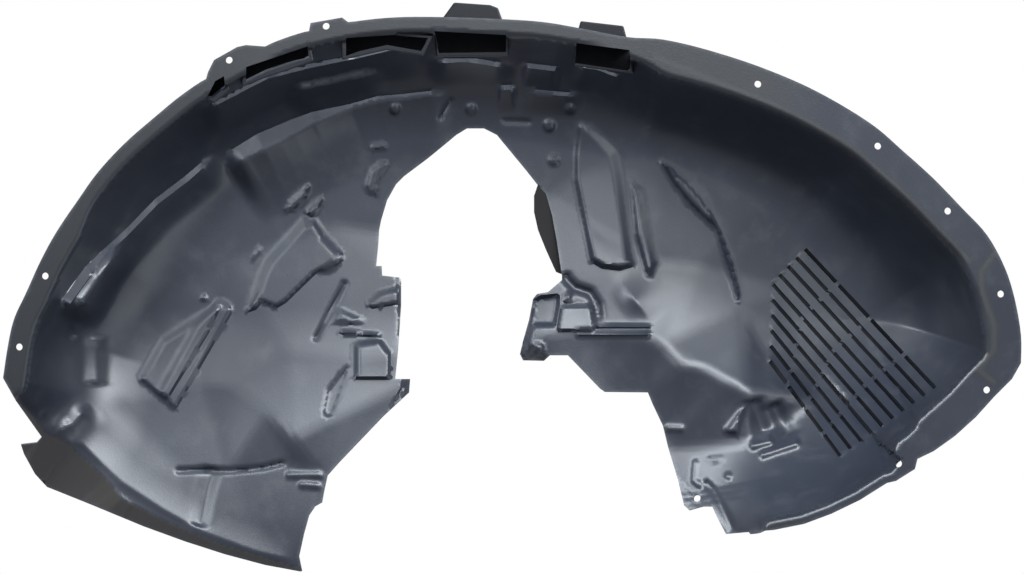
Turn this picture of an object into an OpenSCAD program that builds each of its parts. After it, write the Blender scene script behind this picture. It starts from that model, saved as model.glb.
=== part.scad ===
// Front wheel arch liner, left-hand side of the picture towards the sill.
// One injection moulding: a thin sheet that hangs behind the fender's edge, arches over the tyre,
// and turns in to an inner wall that is cut out round the suspension strut and drive shaft.
// X runs along the car, Z is up, and Y runs from the rim (Y = 0) in under the car.
// The origin is the locating hole in the rim flange.

/* [Arch] */
// Width over the rim, along the car
arch_w = 1019; // [700:1:1300]
// Height from the lowest toe to the top of the rim
arch_h = 555; // [400:1:700]
// Depth from the rim to the inner wall, at strut height
arch_depth = 215; // [120:5:300]
// Wall thickness of the moulding
wall = 2.6; // [1.8:0.1:4]
// Distance in front of the rim of the point that all the drafted walls run to
draft_reach = 1700; // [1200:50:4000]

/* [Rim flange] */
// Width of the flat flange that is screwed to the fender, on the long side
flange_w = 33; // [20:1:50]
// Width of the flat flange over the top
flange_narrow_w = 13; // [8:1:30]
// Width of the flat flange at the sill end, round its clip holes
flange_sill_w = 20; // [16:1:30]
// Height of the step behind the flange
flange_step = 5; // [2:0.5:10]
// How far the end flange runs back for each mm of its width
end_flange_slope = 0.8; // [0:0.1:2]
// Diameter of the push-clip holes
clip_hole_d = 7; // [5:0.5:9]

/* [Louvre] */
// Number of slots in the vent
slot_count = 10; // [6:1:14]
// Width of each slot
slot_w = 5; // [3:0.5:8]
// Width of the ribs that cross the slots
rib_w = 4; // [2:0.5:8]

/* [Sheet] */
// Longest step between the stations of the loft, along the rim
station_pitch = 24; // [8:1:60]
// Number of rows of the loft, from the rim to the inner edge
row_count = 20; // [12:1:30]

/* [Hidden] */
// All outlines are seen from the wheel, in mm, at the default arch_w and arch_h.
drawn_w = 1019;
drawn_h = 555;
scale_x = arch_w / drawn_w;
scale_z = arch_h / drawn_h;
// The locating hole, which is the origin.
datum = [246, 203];

// The rim, from the sill corner over the top and down to the front toe, in seven stretches.
rim = [
  [[-509, -91], [-504, -58], [-498, -32], [-486, -6], [-471, 27], [-456, 56]],
  [[-456, 56], [-434, 87], [-414, 115], [-387, 144], [-356, 171], [-329, 193]],
  [[-329, 193], [-297, 212], [-249, 239], [-208, 255], [-164, 264], [-120, 270], [-72, 270], [-36, 269]],
  [[-36, 269], [-12, 268], [31, 265], [67, 258], [115, 250], [151, 248], [196, 237], [250, 219]],
  [[250, 219], [304, 196], [358, 164], [391, 136], [421, 109], [450, 79], [475, 52]],
  [[475, 52], [493, 19], [503, -13], [509, -48], [509, -76]],
  [[509, -76], [500, -92], [482, -110], [464, -130], [443, -149], [405, -174], [384, -194], [348, -213],
    [319, -227], [292, -237], [262, -243]],
];
// The inner edge, from the sill toe round the strut cut-out to the front toe, in the same stretches.
inner_edge = [
  [[-210, -285], [-213, -269], [-208, -246], [-203, -228], [-190, -215], [-184, -188], [-173, -175],
    [-129, -129], [-103, -105]],
  [[-103, -105], [-102, -92], [-117, -92], [-114, -62], [-111, -18], [-112, 9], [-130, 12], [-136, 21]],
  [[-136, 21], [-134, 41], [-125, 87], [-116, 103], [-84, 129], [-56, 152], [-45, 158], [-36, 159]],
  [[-36, 159], [-28, 158], [-15, 152], [14, 117], [34, 93], [45, 45], [50, 11]],
  [[50, 11], [36, -5], [25, -7], [17, -33], [8, -64], [11, -73], [32, -74], [38, -68]],
  [[38, -68], [56, -68], [88, -101], [93, -104], [136, -105], [151, -138], [156, -159]],
  [[156, -159], [166, -193], [172, -218], [200, -219], [206, -232], [214, -247]],
];
// The crease along the sill end, where the end flange is turned back.
sill_crease = [[-509, -89], [-496, -112], [-466, -146], [-443, -158], [-406, -192], [-390, -212],
  [-339, -238], [-288, -259], [-247, -271], [-209, -282]];
// The free edge of the end flange, as [share of the crease, x, z].
end_flange_edge = [[0, -509, -91], [0.08, -496, -116], [0.15, -478, -142], [0.19, -474, -152],
  [0.21, -491, -158], [0.25, -487, -168], [0.31, -465, -200], [0.42, -422, -217], [0.58, -369, -239],
  [0.7, -328, -254], [0.8, -288, -267], [0.9, -247, -278], [1, -210, -285]];

function smooth(x) = let (c = max(0, min(1, x))) c * c * (3 - 2 * c);
function mix(a, b, f) = a + (b - a) * f;
function path_len(path) = len(path) < 2 ? 0 : sum([for (i = [1:len(path) - 1]) norm(path[i] - path[i - 1])]);
function sum(v, i = 0) = i >= len(v) ? 0 : v[i] + sum(v, i + 1);
// The point at distance d along a path.
function along(path, d, i = 1) =
  let (step = norm(path[i] - path[i - 1]))
  (d <= step || i == len(path) - 1) ? mix(path[i - 1], path[i], min(1, d / step)) : along(path, d - step, i + 1);

// Stations: each is [point on the rim, point on the inner edge]; every corner of the inner edge has one.
function stretch_stations(k) =
  let (outer = rim[k], inner = inner_edge[k], rim_len = path_len(outer), inner_len = path_len(inner))
  [for (i = [1:len(inner) - 1])
    let (before = path_len([for (q = [0:i - 1]) inner[q]]), seg = norm(inner[i] - inner[i - 1]),
      steps = max(1, ceil(seg / inner_len * rim_len / station_pitch)))
    for (s = [0:steps - 1])
      let (d = before + seg * s / steps)
      [along(outer, d / inner_len * rim_len), along(inner, d)]];
last = len(rim) - 1;
stations = concat(
  [for (k = [0:last]) each stretch_stations(k)],
  [[rim[last][len(rim[last]) - 1], inner_edge[last][len(inner_edge[last]) - 1]]]);

// The flange is wide from the top of the arch down the front, narrow over the top, and wider at the sill end.
function flange_at(p) = mix(flange_narrow_w, flange_w, smooth((p[0] - 100) / 70) * smooth((p[1] + 260) / 60))
  + (flange_sill_w - flange_narrow_w) * smooth((-430 - p[0]) / 25);
// Distance in from the rim at which the arched band has turned in to the inner wall.
function band_at(p) = mix(150, 118, smooth((p[1] - 60) / 160));

// Row j of a station: its distance in from the rim, as a fraction of the station's length.
function row_fraction(j, length, flange) =
  j == 0 ? 0 :
  j == 1 ? flange / length :
  (flange + flange_step + (length - flange - flange_step) * pow((j - 2) / (row_count - 2), 1.2)) / length;

// Distance from a point to a segment, and whether a closed outline holds a point.
function seg_distance(p, a, b) =
  let (ab = b - a, f = max(0, min(1, ((p - a) * ab) / (ab * ab)))) norm(p - a - f * ab);
function holds(p, loop) =
  len([for (i = [0:len(loop) - 1])
    let (a = loop[i], b = loop[(i + 1) % len(loop)])
    if ((a[1] > p[1]) != (b[1] > p[1]) && p[0] < (b[0] - a[0]) * (p[1] - a[1]) / (b[1] - a[1]) + a[0]) 1]) % 2 == 1;
function edge_distance(p, loop) =
  min([for (i = [0:len(loop) - 1]) seg_distance(p, loop[i], loop[(i + 1) % len(loop)])]);

// Each form pressed in the sheet: [how far it stands out towards the wheel, width of its flanks, outline].
forms = [
  // Pod over the shock absorber side, sill half
  [16, 12, [[-267, -26], [-256, 14], [-237, 41], [-209, 74], [-196, 69], [-186, 54], [-169, 36], [-169, 26],
    [-186, 13], [-196, 14], [-226, -16], [-249, -14]]],
  // Sunk pocket low in the sill half
  [-10, 10, [[-353, -50], [-375, -91], [-337, -123], [-282, -25], [-289, -11]]],
  // Tall pod beside the cut-out, front half
  [14, 12, [[66, 168], [81, 163], [95, 150], [107, 136], [112, 115], [124, 21], [91, 20], [77, 29], [67, 76],
    [62, 107], [62, 132]]],
  // Narrow pod next to it
  [10, 8, [[112, 112], [132, 100], [139, 5], [126, 17], [121, 55]]],
  // Long leaf-shaped swelling
  [9, 14, [[144, 128], [160, 124], [181, 108], [195, 94], [207, 63], [229, 3], [226, -24], [210, 29],
    [203, 58], [177, 82], [160, 103]]],
  // Ridge over the sill half
  [12, 12, [[-287, 115], [-284, 135], [-255, 153], [-200, 175], [-134, 191], [-57, 199], [-70, 171],
    [-134, 176], [-162, 180], [-200, 165], [-233, 144]]],
  // Outer ridge down the sill half
  [10, 12, [[-460, -32], [-451, -34], [-387, 55], [-328, 107], [-296, 135], [-356, 87], [-420, 30]]],
  // Sunk channel along the top
  [-12, 10, [[-306, 190], [-297, 210], [-262, 224], [-204, 244], [-81, 250], [-90, 233], [-152, 232],
    [-224, 217]]],
  // Raised bracket by the cut-out, front half
  [12, 10, [[48, -18], [56, 15], [64, -4], [83, -6], [136, -49], [136, -80], [72, -78], [40, -62]]],
  // Drain channel low in the sill half
  [-7, 8, [[-318, -236], [-298, -184], [-290, -176], [-280, -184], [-300, -242]]],
];
function pressed(p) =
  sum([for (f = forms) let (d = edge_distance(p, f[2])) holds(p, f[2]) ? f[0] * smooth(d / f[1]) : 0]);

// Depth of the sheet behind the rim at a point seen from the wheel, at a distance in from the rim.
function wall_depth(p) = arch_depth + 0.06 * p[1] - 90 * smooth((-20 - p[1]) / 300);
function depth(p, inset, flange, band) =
  inset <= flange + 0.01 ? 0 :
  let (x = min(1, max(0, (inset - flange - flange_step) / (band - flange))))
  flange_step + (wall_depth(p) - flange_step) * sqrt(1 - pow(1 - x, 2)) - pressed(p) * smooth((inset - flange) / 12);

// Place a drawn point at a depth, on its drafted line.
function place(p, y) =
  let (spread = 1 + y / draft_reach)
  [(p[0] * scale_x) * spread - datum[0], y, (p[1] * scale_z) * spread - datum[1]];

// The drawn point of station i, row j; near the sill end the rows bend to follow the crease.
function drawn(i, j) =
  let (st = stations[i], length = norm(st[1] - st[0]), f = row_fraction(j, length, flange_at(st[0])),
    end_f = row_fraction(j, norm(stations[0][1] - stations[0][0]), flange_at(stations[0][0])),
    bend = pow(max(0, 1 - i / 8), 2),
    crease = along(sill_crease, end_f * path_len(sill_crease)),
    straight = mix(stations[0][0], stations[0][1], end_f))
  mix(st[0], st[1], f) + (crease - straight) * bend;
function sheet_point(i, j) =
  let (st = stations[i], length = norm(st[1] - st[0]), flange = flange_at(st[0]), p = drawn(i, j))
  place(p, depth(p, row_fraction(j, length, flange) * length, flange, band_at(st[0])));

// The end flange is two more stations, turned back from the crease.
function column(k) = [for (e = end_flange_edge) [e[0], e[k]]];
function end_flange_point(step, j) =
  let (st = stations[0], length = norm(st[1] - st[0]), f = row_fraction(j, length, flange_at(st[0])),
    edge = [lookup(f, column(1)), lookup(f, column(2))], p = mix(drawn(0, j), edge, step),
    y = depth(drawn(0, j), f * length, flange_at(st[0]), band_at(st[0])))
  place(p, y + step * norm(edge - drawn(0, j)) * end_flange_slope);
sheet_grid = concat(
  [for (step = [1, 0.5]) [for (j = [0:row_count]) end_flange_point(step, j)]],
  [for (i = [0:len(stations) - 1]) [for (j = [0:row_count]) sheet_point(i, j)]]);
station_last = len(sheet_grid) - 1;

// The back of the sheet lies one wall behind, square to the smooth arch.
function unit(v) = v / norm(v);
function square_to_sheet(i, j) =
  let (i0 = max(0, i - 2), i1 = min(station_last, i + 2), j0 = max(0, j - 2), j1 = min(row_count, j + 2),
    g = sheet_grid)
  j <= 1 ? [0, 1, 0] : unit(unit(cross(g[i1][j] - g[i0][j], g[i][j1] - g[i][j0])) + [0, 0.35, 0]);
back_grid = [for (i = [0:station_last]) [for (j = [0:row_count]) sheet_grid[i][j] + wall * square_to_sheet(i, j)]];

row_points = row_count + 1;
layer_points = (station_last + 1) * row_points;
function at(layer, i, j) = layer * layer_points + i * row_points + j;
function quad(a, b, c, d) = [[a, b, c], [a, c, d]];
sheet_faces = concat(
  [for (i = [0:station_last - 1]) for (j = [0:row_count - 1])
    each quad(at(0, i, j), at(0, i + 1, j), at(0, i + 1, j + 1), at(0, i, j + 1))],
  [for (i = [0:station_last - 1]) for (j = [0:row_count - 1])
    each quad(at(1, i, j), at(1, i, j + 1), at(1, i + 1, j + 1), at(1, i + 1, j))],
  [for (i = [0:station_last - 1]) each quad(at(0, i, 0), at(1, i, 0), at(1, i + 1, 0), at(0, i + 1, 0))],
  [for (i = [0:station_last - 1])
    each quad(at(0, i, row_count), at(0, i + 1, row_count), at(1, i + 1, row_count), at(1, i, row_count))],
  [for (j = [0:row_count - 1]) each quad(at(0, 0, j), at(0, 0, j + 1), at(1, 0, j + 1), at(1, 0, j))],
  [for (j = [0:row_count - 1])
    each quad(at(0, station_last, j), at(1, station_last, j), at(1, station_last, j + 1),
      at(0, station_last, j + 1))]);

// Push-clip holes through the rim flange, and the hole in the recessed front corner pad.
rim_holes = [[246, 203], [366, 141], [436, 76], [489, -7], [475, -103]];
sill_holes = [[-467, 11], [-493, -60], [-469, -126]];

// The vent: where the first and last slots start and end, and the bend of the line of starts.
vent_starts = [[293, 38], [261, 6], [258, -74]];
vent_ends = [[423, -101], [328, -169]];
vent_bend = 0.42;
// Where the ribs cross, as shares of a slot's length.
vent_ribs = [0.25, 0.5, 0.76];
vent_depth = [40, 330];

// Clip pockets behind the rim: outline of the box, and of its mouth, seen from the wheel.
pocket_depth = [30, 112];
pocket_boxes = [
  [[-58, 284], [-22, 282], [-14, 279], [-4, 252], [-3, 231], [-76, 230], [-78, 257]],
  [[68, 266], [111, 261], [117, 240], [122, 213], [62, 221], [63, 246]],
];
pocket_mouths = [
  [[-78, 256], [-6, 252], [-6, 235], [-73, 234]],
  [[64, 244], [118, 237], [118, 216], [63, 224]],
];

// Flat clip tabs that stand up from the rim, and the holes in them.
clip_tabs = [
  [[-304, 200], [-304, 215], [-298, 227], [-275, 240], [-249, 241], [-240, 232], [-290, 204]],
  [[-202, 250], [-202, 257], [-201, 264], [-170, 269], [-164, 265], [-164, 256], [-200, 248]],
];
tab_holes = [[-284, 226], [-186, 260]];

// Which node is drawn

// A closed solid between two depths, whose sides are drafted: seen from the wheel it has one outline.
module drafted(outline, from_y, to_y) {
  count = len(outline);
  polyhedron(
    points = concat([for (p = outline) place(p, from_y)], [for (p = outline) place(p, to_y)]),
    faces = concat(
      [[for (i = [0:count - 1]) i]], [[for (i = [count - 1:-1:0]) count + i]],
      [for (i = [0:count - 1]) [i, count + i, count + (i + 1) % count, (i + 1) % count]]));
}

// A hole along Y at a drawn point, through the sheet at that depth.
module clip_hole(p, y) {
  translate(place(p, y) - [0, 5, 0])
    rotate([-90, 0, 0])
      cylinder(d = clip_hole_d, h = 10 + wall, $fn = 40);
}

module clip_tab(outline) {
  rotate([90, 0, 0])
    translate([-datum[0], -datum[1], -wall])
      linear_extrude(wall)
        polygon(outline);
}

module pocket(k) {
  drafted(pocket_boxes[k], pocket_depth[0], pocket_depth[1]);
}

// An outline drawn in towards its middle.
function drawn_in(outline, d) =
  let (middle = sum_points(outline) / len(outline)) [for (p = outline) p + d * unit(middle - p)];
function sum_points(v, i = 0) = i >= len(v) ? [0, 0] : v[i] + sum_points(v, i + 1);

module pocket_hollow(k) {
  drafted(drawn_in(pocket_boxes[k], 1.4 * wall), pocket_depth[0] + wall, pocket_depth[1] - wall);
  drafted(pocket_mouths[k], 4, pocket_depth[1] - wall);
}

function vent_start(share) = share < vent_bend ? mix(vent_starts[0], vent_starts[1], share / vent_bend)
  : mix(vent_starts[1], vent_starts[2], (share - vent_bend) / (1 - vent_bend));
function vent_end(share) = mix(vent_ends[0], vent_ends[1], share);

module vent_slots() {
  for (k = [0:slot_count - 1]) {
    start = vent_start(k / (slot_count - 1));
    finish = vent_end(k / (slot_count - 1));
    run = norm(finish - start);
    side = [start[1] - finish[1], finish[0] - start[0]] / run * slot_w / 2;
    stops = concat([0], vent_ribs, [1]);
    for (q = [0:len(stops) - 2]) {
      near = mix(start, finish, stops[q] + (q == 0 ? 0 : rib_w / 2 / run));
      far = mix(start, finish, stops[q + 1] - (q == len(stops) - 2 ? 0 : rib_w / 2 / run));
      drafted([near + side, far + side, far - side, near - side], vent_depth[0], vent_depth[1]);
    }
  }
}

module sheet() {
  polyhedron(points = concat([for (g = sheet_grid) each g], [for (g = back_grid) each g]), faces = sheet_faces,
    convexity = 12);
}

module liner() {
  color([0.17, 0.18, 0.2])
    difference() {
      union() {
        sheet();
        for (k = [0:len(pocket_boxes) - 1])
          pocket(k);
        for (outline = clip_tabs)
          clip_tab(outline);
      }
      for (k = [0:len(pocket_boxes) - 1])
        pocket_hollow(k);
      vent_slots();
      for (p = rim_holes)
        clip_hole(p, 0);
      for (p = sill_holes)
        clip_hole(p, 0);
      for (p = tab_holes)
        clip_hole(p, 0);
    }
}

liner();
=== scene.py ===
"""Front wheel arch liner, moulded in one piece: its looks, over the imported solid.

The moulding is drawn as seen from the wheel. A drawn point is (across, down) in mm on a sheet that lies in
the rim plane, 1024 mm wide and 574 mm high. Its depth is how far it lies behind the rim, along the line
from an eye point EYE mm in front of the sheet's middle, so the walls are drafted towards the wheel.
"""
import math

import bmesh
import bpy
import numpy as np
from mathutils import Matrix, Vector
from mathutils.geometry import delaunay_2d_cdt


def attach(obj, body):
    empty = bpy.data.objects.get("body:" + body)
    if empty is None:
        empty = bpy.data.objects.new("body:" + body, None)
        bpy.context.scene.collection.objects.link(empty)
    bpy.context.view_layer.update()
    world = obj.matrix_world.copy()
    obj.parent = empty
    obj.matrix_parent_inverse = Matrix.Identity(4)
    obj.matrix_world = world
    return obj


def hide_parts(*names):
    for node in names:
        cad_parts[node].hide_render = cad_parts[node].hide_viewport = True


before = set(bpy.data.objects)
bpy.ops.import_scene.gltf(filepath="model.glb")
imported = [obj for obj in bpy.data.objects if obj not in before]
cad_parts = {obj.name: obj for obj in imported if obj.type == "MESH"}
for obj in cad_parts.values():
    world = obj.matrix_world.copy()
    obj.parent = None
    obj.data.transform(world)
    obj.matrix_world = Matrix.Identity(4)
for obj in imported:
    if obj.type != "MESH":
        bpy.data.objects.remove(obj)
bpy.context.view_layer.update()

# Drawing sheet and eye
SHEET = (1024.0, 574.0)
EYE = 1700.0
DATUM = (246.0, 203.0)

# The moulding
WALL = 2.6
ARCH_DEPTH = 215.0
FLANGE_W = 33.0
FLANGE_NARROW_W = 13.0
FLANGE_SILL_W = 20.0
FLANGE_TOE_W = 7.0
FLANGE_STEP = 5.0
END_FLANGE_SLOPE = 0.8
HOLE_R = 3.5
# Where the flange changes its width: (mm from the sheet's middle, run of the change)
FLANGE_WIDENS = (100, 70)
FLANGE_SILL_END = (-430, 25)
FLANGE_TOE_END = (-150, 50)
# The band from the flange to the wall: its reach low down, how much less it is over the top, and where that
# changes
BAND_REACH = 150
BAND_LESS = 32
BAND_CHANGE = (60, 160)
BAND_POWER = 2.0
# The inner wall: lean in mm of depth for each mm up, how far its lower end comes forward, and where
WALL_LEAN = 0.06
WALL_FORWARD = 90
WALL_CHANGE = (-20, 300)
# Distance from the flange over which the pressed forms grow to their full height
FORM_FADE = 8

# The rim from the sill corner over the top to the front corner is a smooth curve. The free edge below the
# vent has corners.
RIM_CURVE = [
    (3, 378), (8, 345), (14, 319), (26, 293), (41, 260), (57, 231), (78, 200), (98, 172), (125, 143),
    (156, 116), (183, 94), (215, 73), (263, 47), (304, 32), (348, 22.5), (392, 17.5), (440, 17),
    (500, 19), (543, 22), (579, 28), (627, 37), (663, 39.5), (708, 50), (762, 67.6), (816, 91),
    (870, 123), (903, 151), (933, 178), (962, 208), (987, 235), (1005, 268), (1015, 300), (1021, 335),
    (1021, 363),
]
TOE_EDGE = [
    (1012, 379), (994, 397), (976, 417), (955, 436), (934, 451), (917.5, 459), (915, 469), (896, 481),
    (887, 483), (860, 500), (831, 514), (804, 524), (774, 530),
]
# Clip tabs that stand up from the rim, each from its left foot to its right foot, with its hole
CLIP_TABS = [
    [(206, 79), (208, 72), (214, 60), (237, 47), (246, 45), (265, 46.5)],
    [(309, 31), (310.5, 23), (342, 17.5), (348, 22)],
]
TAB_HOLES = [(229, 60), (326, 26)]
INNER_EDGE = [
    (726, 534), (718, 519), (712, 506), (703, 506), (689, 510), (684, 505), (678, 480), (668, 446),
    (663, 425), (653, 404), (648, 392), (605, 391.5), (600, 388), (568, 355), (550, 355), (544, 360.5),
    (523, 360), (520, 354), (523, 341), (529, 320), (533, 299), (537, 294), (548, 292), (562, 280),
    (562, 276), (557, 242), (552, 215), (546, 194), (537, 184), (526, 170), (507, 147), (497, 135),
    (484, 128.5), (467, 128.5), (456, 135), (428, 158), (404, 176), (396, 184), (387, 200), (381, 220),
    (379, 230), (378, 246), (376, 266), (381.5, 266), (382, 275.5), (399.5, 277.5), (401, 281),
    (401, 305), (398, 349), (395, 379), (410, 379), (409, 392), (383, 416), (339, 462), (327.5, 475),
    (324, 491), (322, 502), (315, 506), (309, 515), (304, 533), (299, 556), (302, 571),
]
END_FLANGE_EDGE = [
    (300, 571.5), (265, 565), (224, 554), (184, 541), (143, 526), (90, 504), (47, 487), (35, 474),
    (24, 454), (21, 445), (37, 443), (42, 437.5), (16, 401),
]
SILL_CREASE = [
    (3, 376), (16, 399), (46, 433), (69, 445), (106, 479), (122, 499), (173, 525), (224, 546), (265, 558),
    (303, 569),
]
# How far across the sheet the end flange reaches
END_FLANGE_REACH = 303
RIM_HOLES = [(758, 84), (878, 146), (948, 211), (1001, 294), (987, 390), (45, 276), (19, 347)]
SEAT_HOLES = [(899, 464), (697, 498)]
# The lip that is turned back behind the front side of the cut-out, and its depth
RETURN_LIP = [(538, 184), (534, 196), (534, 212), (538, 230), (546, 250), (556, 272), (566, 276),
              (561, 240), (556, 212), (549, 192)]
RETURN_LIP_DEPTH = (221.0, 223.6)


def smooth(x):
    """Ease from 0 to 1."""
    c = np.clip(x, 0.0, 1.0)
    return c * c * (3.0 - 2.0 * c)


def near_path(points, path, closed=False):
    """Distance to a path, the side (1 on its left as drawn), the place along it in mm, the nearest point on
    it, and the path's whole run."""
    ends = list(path) + ([path[0]] if closed else [])
    best = np.full(len(points), 1e9)
    side = np.ones(len(points))
    place_mm = np.zeros(len(points))
    nearest = np.zeros((len(points), 2))
    run = 0.0
    for a, b in zip(ends[:-1], ends[1:]):
        a = np.array(a, float)
        ab = np.array(b, float) - a
        length = math.hypot(ab[0], ab[1])
        rel = points - a
        f = np.clip((rel @ ab) / (length * length), 0.0, 1.0)
        foot = a + f[:, None] * ab
        d = np.hypot(points[:, 0] - foot[:, 0], points[:, 1] - foot[:, 1])
        closer = d < best - 1e-9
        best[closer] = d[closer]
        side[closer] = np.sign(ab[1] * rel[closer, 0] - ab[0] * rel[closer, 1] + 1e-12)
        place_mm[closer] = run + f[closer] * length
        nearest[closer] = foot[closer]
        run += length
    return best, side, place_mm, nearest, run


def within(points, loop):
    """Whether each point lies inside a closed outline."""
    result = np.zeros(len(points), bool)
    x = points[:, 0]
    y = points[:, 1]
    for (ax, ay), (bx, by) in zip(loop, list(loop[1:]) + [loop[0]]):
        if ay == by:
            continue
        crosses = (ay > y) != (by > y)
        result ^= crosses & (x < (bx - ax) * (y - ay) / (by - ay) + ax)
    return result


def curved(path, pitch):
    """A smooth curve through the points of a path, at about the given pitch."""
    knots = [path[0]] + list(path) + [path[-1]]
    out = []
    for p0, p1, p2, p3 in zip(knots[:-3], knots[1:-2], knots[2:-1], knots[3:]):
        steps = max(1, round(math.dist(p1, p2) / pitch))
        for i in range(steps):
            t = i / steps
            before = -t + 2 * t * t - t ** 3
            here = 2 - 5 * t * t + 3 * t ** 3
            ahead = t + 4 * t * t - 3 * t ** 3
            beyond = t ** 3 - t * t
            weighed = zip((before, here, ahead, beyond), (p0, p1, p2, p3))
            out.append(tuple(0.5 * sum(w * np.array(p) for w, p in weighed)))
    return out + [tuple(path[-1])]


def with_tabs(rim):
    """The rim with each clip tab's outline in place of the stretch between its feet."""
    out = list(rim)
    for tab in CLIP_TABS:
        first = min(range(len(out)), key=lambda i: math.dist(out[i], tab[0]))
        last = min(range(len(out)), key=lambda i: math.dist(out[i], tab[-1]))
        out[first:last + 1] = tab
    return out


RIM = curved(RIM_CURVE, 8.0) + TOE_EDGE
BORDER = with_tabs(RIM) + INNER_EDGE + END_FLANGE_EDGE


def onward(value, change):
    """Ease from 0 to 1 as a value rises past where a change starts, over the run of the change."""
    return smooth((value - change[0]) / change[1])


def downward(value, change):
    """Ease from 0 to 1 as a value falls past where a change starts, over the run of the change."""
    return smooth((change[0] - value) / change[1])


def flange_width(rim_points):
    """The flange is narrow over the top, wide down the front, wider at the sill end, narrowest at the toe."""
    x = rim_points[:, 0] - SHEET[0] / 2
    z = SHEET[1] / 2 - rim_points[:, 1]
    width = FLANGE_NARROW_W + (FLANGE_W - FLANGE_NARROW_W) * onward(x, FLANGE_WIDENS)
    width = width + (FLANGE_SILL_W - FLANGE_NARROW_W) * downward(x, FLANGE_SILL_END)
    toe = downward(z, FLANGE_TOE_END) * (x > 0)
    return width + (FLANGE_TOE_W - width) * toe


def smooth_depth(points):
    """The plain arch without its pressed forms: depth behind the rim, and distance in from the flange.

    From the rim in, the sheet is a flat flange, then a step, then a band that follows a quarter of an ellipse
    back to the inner wall, whose depth changes with height.
    """
    inset, side, _, nearest, _ = near_path(points, RIM)
    inset = np.where(side > 0, 0, inset)
    flange = flange_width(nearest)
    z = SHEET[1] / 2 - points[:, 1]
    band = BAND_REACH - BAND_LESS * onward(SHEET[1] / 2 - nearest[:, 1], BAND_CHANGE)
    wall = ARCH_DEPTH + WALL_LEAN * z - WALL_FORWARD * downward(z, WALL_CHANGE)
    x = np.clip((inset - flange - FLANGE_STEP) / (band - flange), 0, 1)
    step = FLANGE_STEP * smooth((inset - flange) / FLANGE_STEP)
    depth = step + (wall - FLANGE_STEP) * (1 - (1 - x) ** BAND_POWER) ** (1 / BAND_POWER)
    return depth, inset - flange


def past_crease(points):
    """Whether each point lies past the sill crease, its distance from it, and the nearest point on it."""
    distance, side, _, foot, _ = near_path(points, SILL_CREASE)
    return (side < 0) & (points[:, 0] < END_FLANGE_REACH), distance, foot


def full_depth(points):
    """Depth of the face towards the wheel: the plain arch less its pressed forms. The end flange runs back
    from the depth at its crease by its slope."""
    past, distance, foot = past_crease(points)
    past &= near_path(points, RIM)[0] > 0.5
    base_points = np.where(past[:, None], foot, points)
    depth, from_flange = smooth_depth(base_points)
    depth = depth - pressed(base_points) * smooth(from_flange / FORM_FADE)
    return depth + np.where(past, distance * END_FLANGE_SLOPE, 0)


# Forms pressed in the sheet. Heights in mm are towards the wheel, and negative ones away from it. The next
# two are ways across the sheet in which a pod's easy flank faces.
UP_LEFT = (-0.6, -0.8)
UP_RIGHT = (0.6, -0.8)
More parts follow.
